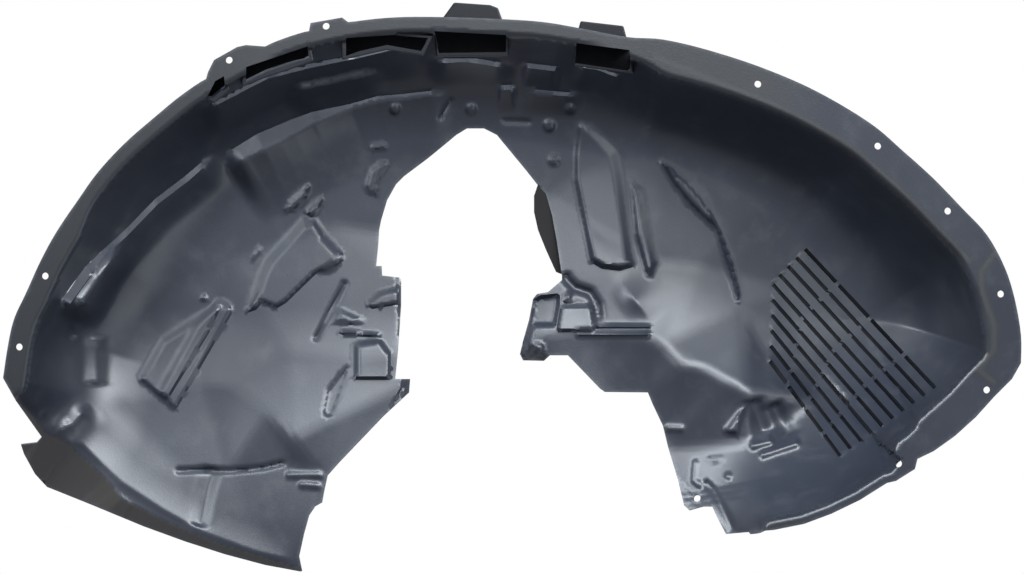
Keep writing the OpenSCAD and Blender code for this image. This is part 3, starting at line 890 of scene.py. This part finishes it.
def node_group(name, inputs, outputs):
    """An empty node group with the given (name, kind) sockets; returns it with its two end nodes."""
    group = bpy.data.node_groups.new(name, "ShaderNodeTree")
    for label, kind in inputs:
        group.interface.new_socket(label, in_out="INPUT", socket_type=kind)
    for label, kind in outputs:
        group.interface.new_socket(label, in_out="OUTPUT", socket_type=kind)
    return group, group.nodes.new("NodeGroupInput"), group.nodes.new("NodeGroupOutput")


def noise(tree, vector, scale, detail, rough=0.5):
    """Cloudy noise from 0 to 1."""
    node = tree.nodes.new("ShaderNodeTexNoise")
    node.inputs["Scale"].default_value = scale
    node.inputs["Detail"].default_value = detail
    node.inputs["Roughness"].default_value = rough
    tree.links.new(vector, node.inputs["Vector"])
    return node.outputs["Fac"]


def remap(tree, value, low, high, to_low, to_high):
    """A value brought from one range to another, and held within it."""
    node = tree.nodes.new("ShaderNodeMapRange")
    for label, number in (("From Min", low), ("From Max", high), ("To Min", to_low), ("To Max", to_high)):
        node.inputs[label].default_value = number
    tree.links.new(value, node.inputs["Value"])
    return node.outputs["Result"]


def maths(tree, operation, a, b):
    """One sum of two values, either of which may be a number."""
    node = tree.nodes.new("ShaderNodeMath")
    node.operation = operation
    for socket, value in zip(node.inputs, (a, b)):
        if isinstance(value, float):
            socket.default_value = value
        else:
            tree.links.new(value, socket)
    return node.outputs[0]


def blend(tree, share, colour_a, colour_b):
    """From the first colour to the second by a share, either of which may be a colour as numbers."""
    node = tree.nodes.new("ShaderNodeMix")
    node.data_type = "RGBA"
    tree.links.new(share, node.inputs["Factor"])
    for socket, value in ((node.inputs[6], colour_a), (node.inputs[7], colour_b)):
        if isinstance(value, tuple):
            socket.default_value = value + (1,)
        else:
            tree.links.new(value, socket)
    return node.outputs[2]


def spark_grain():
    """Height of the fine spark-eroded grain that such moulds leave: small pits over soft sink marks."""
    sockets = [("Vector", "NodeSocketVector")]
    results = [("Height", "NodeSocketFloat")]
    group, start, end = node_group("spark grain", sockets, results)
    vector = start.outputs["Vector"]
    pits = group.nodes.new("ShaderNodeTexVoronoi")
    pits.inputs["Scale"].default_value = PITS
    group.links.new(vector, pits.inputs["Vector"])
    sinks = noise(group, vector, 9, 2)
    fine = maths(group, "MULTIPLY", pits.outputs["Distance"], 0.35)
    total = maths(group, "ADD", fine, maths(group, "MULTIPLY", sinks, 1.6))
    group.links.new(total, end.inputs["Height"])
    return group


def flow_dust_and_painted_light():
    """Colour and roughness of the black plastic: flow marks, a painted warm reflection where the sheet turns
    back, a film of dust, painted shade that darkens and roughens the flange and its grooves, and rubbed edges,
    one over the other."""
    sockets = [("Vector", "NodeSocketVector")]
    sockets += [(label, "NodeSocketFloat") for label in ("Rubbed", "Painted Reflection", "Painted Shade")]
    results = [("Base Color", "NodeSocketColor"), ("Roughness", "NodeSocketFloat")]
    group, start, end = node_group("flow, dust and painted light", sockets, results)
    vector = start.outputs["Vector"]
    flow = remap(group, noise(group, vector, 5, 3, 0.6), 0.3, 0.7, 0, 1)
    dust = remap(group, noise(group, vector, 38, 5, 0.65), 0.52, 0.8, 0, 0.3)
    patchy = remap(group, noise(group, vector, 90, 3), 0.3, 0.7, 0.2, 1)
    rubbed = maths(group, "MULTIPLY", start.outputs["Rubbed"], patchy)
    colour = blend(group, flow, BLACK_DEEP, BLACK_GREYED)
    # Painted warm reflection on the end flange and the return lip
    colour = blend(group, start.outputs["Painted Reflection"], colour, PAINTED_REFLECTION_BROWN)
    colour = blend(group, dust, colour, DUST_GREY)
    # Painted shade darkens the flange and the grooves inside it
    colour = blend(group, start.outputs["Painted Shade"], colour, PAINTED_SHADE_BLACK)
    colour = blend(group, rubbed, colour, RUBBED_GREY)
    group.links.new(colour, end.inputs["Base Color"])
    rough = remap(group, flow, 0, 1, 0.33, 0.38)
    rough = maths(group, "ADD", rough, maths(group, "MULTIPLY", dust, 0.12))
    rough = maths(group, "SUBTRACT", rough, maths(group, "MULTIPLY", rubbed, 0.05))
    rough = maths(group, "ADD", rough, maths(group, "MULTIPLY", start.outputs["Painted Shade"], 0.09))
    group.links.new(rough, end.inputs["Roughness"])
    return group


def moulded_plastic():
    """Black plastic with the flow, dust, painted shade and painted warm reflection as its colour and
    roughness, and the spark grain as its bump.
    """
    mat = bpy.data.materials.new("moulded plastic")
    mat.use_nodes = True
    tree = mat.node_tree
    bsdf = tree.nodes["Principled BSDF"]
    coords = tree.nodes.new("ShaderNodeTexCoord").outputs["Object"]
    finish = tree.nodes.new("ShaderNodeGroup")
    finish.node_tree = flow_dust_and_painted_light()
    grain = tree.nodes.new("ShaderNodeGroup")
    grain.node_tree = spark_grain()
    bump = tree.nodes.new("ShaderNodeBump")
    bump.inputs["Strength"].default_value = GRAIN_STRENGTH
    bump.inputs["Distance"].default_value = GRAIN_DEPTH_M
    for group in (finish, grain):
        tree.links.new(coords, group.inputs["Vector"])
    for socket, name in (("Rubbed", "rubbed"), ("Painted Reflection", "painted_reflection"), ("Painted Shade", "painted_shade")):
        attribute = tree.nodes.new("ShaderNodeAttribute")
        attribute.attribute_name = name
        tree.links.new(attribute.outputs["Fac"], finish.inputs[socket])
    tree.links.new(grain.outputs["Height"], bump.inputs["Height"])
    tree.links.new(bump.outputs["Normal"], bsdf.inputs["Normal"])
    tree.links.new(finish.outputs["Base Color"], bsdf.inputs["Base Color"])
    tree.links.new(finish.outputs["Roughness"], bsdf.inputs["Roughness"])
    bsdf.inputs["Specular IOR Level"].default_value = SHEEN
    return mat


def dress(piece, plastic, is_smooth):
    """Shade a piece, give it the plastic, hang it on the root and hide the imported liner that it replaces."""
    polygons = piece.data.polygons
    polygons.foreach_set("use_smooth", [is_smooth] * len(polygons))
    piece.data.materials.clear()
    piece.data.materials.append(plastic)
    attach(piece, "root")
    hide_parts("liner")


def camera():
    """A camera at the eye point, square to the sheet, whose picture is as wide as the sheet."""
    data = bpy.data.cameras.new("camera")
    data.sensor_width = 36
    data.lens = data.sensor_width * EYE / SHEET[0]
    eye = bpy.data.objects.new("camera", data)
    eye.location = (-DATUM[0] / 1000, -EYE / 1000, -DATUM[1] / 1000)
    eye.rotation_euler = (math.pi / 2, 0, 0)
    bpy.context.scene.collection.objects.link(eye)
    bpy.context.scene.camera = eye


# Lamps: (name, place in metres, size in metres, watts, colour), all aimed at one point
LAMP_AIM = (-0.246, 0.1, -0.25)
COOL_WHITE = (0.88, 0.94, 1.0)
ROOF_LAMP = ("high softbox", (0.5, -1.75, 1.3), (3.2, 0.8), 40, (0.93, 0.97, 1.0))
SHEEN_LAMPS = [
    ("ceiling", (-0.6, -1.0, 1.6), (6.2, 0.8), 215, COOL_WHITE),
    ("bounce", (0.6, -1.9, 1.0), (2.6, 0.5), 8, COOL_WHITE),
    ("left", (-3.0, -1.4, 1.5), (1.8, 1.2), 80, COOL_WHITE),
    ("right", (2.4, -1.6, 1.3), (1.2, 1.0), 50, (0.9, 0.95, 1.0)),
    ("below", (1.4, -0.9, -1.2), (2.0, 0.8), 9, (0.9, 0.95, 1.0)),
]
# What the world gives to everything but the camera
ROOM_LIGHT = (0.42, 0.44, 0.49, 1)


def area_light(name, place_m, size_m, watts, colour):
    """A rectangular lamp that faces the object."""
    data = bpy.data.lights.new(name, "AREA")
    data.shape = "RECTANGLE"
    data.size = size_m[0]
    data.size_y = size_m[1]
    data.energy = watts
    data.color = colour
    lamp = bpy.data.objects.new(name, data)
    lamp.location = place_m
    lamp.rotation_euler = (Vector(LAMP_AIM) - Vector(place_m)).to_track_quat("-Z", "Y").to_euler()
    bpy.context.scene.collection.objects.link(lamp)
    return lamp


def lamps(sheet):
    """One lamp that casts shadows, and shadowless ones that light the sheet alone, so that its raised forms
    shine though the arch hangs over them."""
    area_light(*ROOF_LAMP)
    sheen = [area_light(*lamp) for lamp in SHEEN_LAMPS]
    open_faces = bpy.data.collections.new("open faces")
    bpy.context.scene.collection.children.link(open_faces)
    open_faces.objects.link(sheet)
    for lamp in sheen:
        lamp.data.use_shadow = False
        lamp.data.cycles.cast_shadow = False
        lamp.light_linking.receiver_collection = open_faces


def white_studio():
    """A world that is white to the camera and through clear pieces, and a plain room light to all else."""
    world = bpy.data.worlds.new("white studio")
    world.use_nodes = True
    bpy.context.scene.world = world
    tree = world.node_tree
    ray = tree.nodes.new("ShaderNodeLightPath")
    seen = maths(tree, "MAXIMUM", ray.outputs["Is Camera Ray"], ray.outputs["Is Transmission Ray"])
    dim = tree.nodes.new("ShaderNodeMixRGB")
    dim.inputs["Color1"].default_value = ROOM_LIGHT
    dim.inputs["Color2"].default_value = (1, 1, 1, 1)
    tree.links.new(seen, dim.inputs["Fac"])
    tree.links.new(dim.outputs["Color"], tree.nodes["Background"].inputs["Color"])


sheet = liner_sheet()
plastic = moulded_plastic()
dress(sheet, plastic, True)
for piece in [louvre_fins(), return_lip()] + [clip_pocket(k) for k in range(len(POCKET_BOXES))]:
    dress(piece, plastic, False)
camera()
lamps(sheet)
white_studio()
bpy.context.scene.view_settings.view_transform = "Standard"
